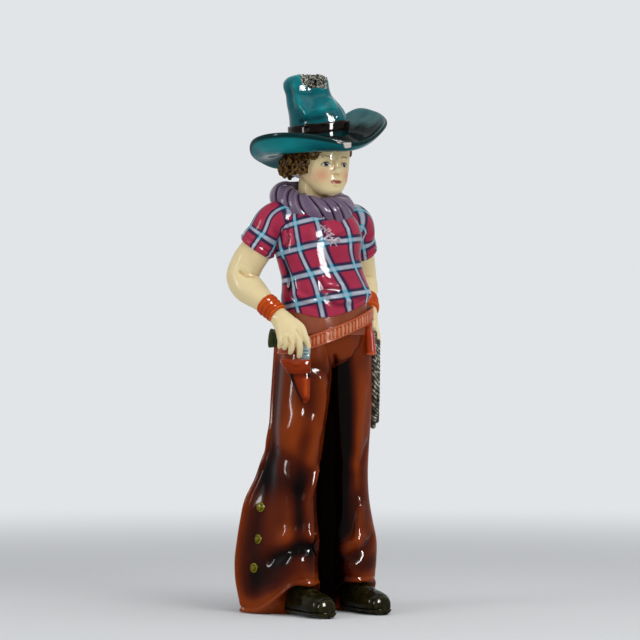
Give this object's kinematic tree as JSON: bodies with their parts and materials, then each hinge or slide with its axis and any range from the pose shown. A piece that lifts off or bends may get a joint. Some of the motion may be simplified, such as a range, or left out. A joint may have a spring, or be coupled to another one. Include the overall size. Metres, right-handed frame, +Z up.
{
  "type": "chalkware figure",
  "caption": "Standing painted plaster figure of a child in cowboy dress, hand on the hip, with a curled hat, a twisted neckerchief, batwing chaps and a coiled rope.",
  "frame": {"origin": "on the floor under the middle of the figure's bounding box", "axes": "+Z up, the figure faces -Y and its own left hand is on the +X side"},
  "size_m": [0.1648, 0.1164, 0.5],
  "materials": {
    "hat_paint": "glossy lacquer over teal paint",
    "hat_band_paint": "glossy black-brown paint",
    "hair_paint": "brown paint rubbed with gold",
    "skin_paint": "cream paint under lacquer",
    "neckerchief_paint": "dusky purple paint",
    "shirt_paint": "crimson plaid under lacquer",
    "lacing_paint": "dark paint",
    "cuff_paint": "orange paint with dark ribs",
    "waistband_paint": "red-brown paint",
    "belt_paint": "orange-brown paint",
    "cartridge_paint": "lighter orange-brown paint",
    "grip_paint": "dark olive paint",
    "frame_paint": "silver-teal paint",
    "holster_paint": "orange-brown paint",
    "sheath_paint": "orange-red paint",
    "rope_paint": "grey and cream speckled paint",
    "trouser_paint": "near-black paint",
    "chap_paint": "glossy red-brown paint",
    "concho_paint": "yellow-olive paint",
    "boot_paint": "black paint rubbed with gold",
    "arm_wire_steel": "plain drawn wire",
    "dowel_wood": "plain turned wood"
  },
  "bodies": {
    "root": {"hat": "hat_paint", "hat_band": "hat_band_paint", "hair": "hair_paint", "head": "skin_paint", "neck_dowel": "dowel_wood", "neckerchief": "neckerchief_paint", "shirt": "shirt_paint", "shirt_lacing": "lacing_paint", "right_arm": "skin_paint", "left_arm": "skin_paint", "right_arm_wire": "arm_wire_steel", "left_arm_wire": "arm_wire_steel", "right_cuff": "cuff_paint", "left_cuff": "cuff_paint", "waistband": "waistband_paint", "cartridge_belt": "belt_paint", "cartridges": "cartridge_paint", "pistol_grip": "grip_paint", "pistol_frame": "frame_paint", "right_holster": "holster_paint", "left_sheath": "sheath_paint", "lariat": "rope_paint", "trousers": "trouser_paint", "right_chap": "chap_paint", "left_chap": "chap_paint", "right_conchos": "concho_paint", "left_conchos": "concho_paint", "right_boot": "boot_paint", "left_boot": "boot_paint"}
  },
  "joints": []
}
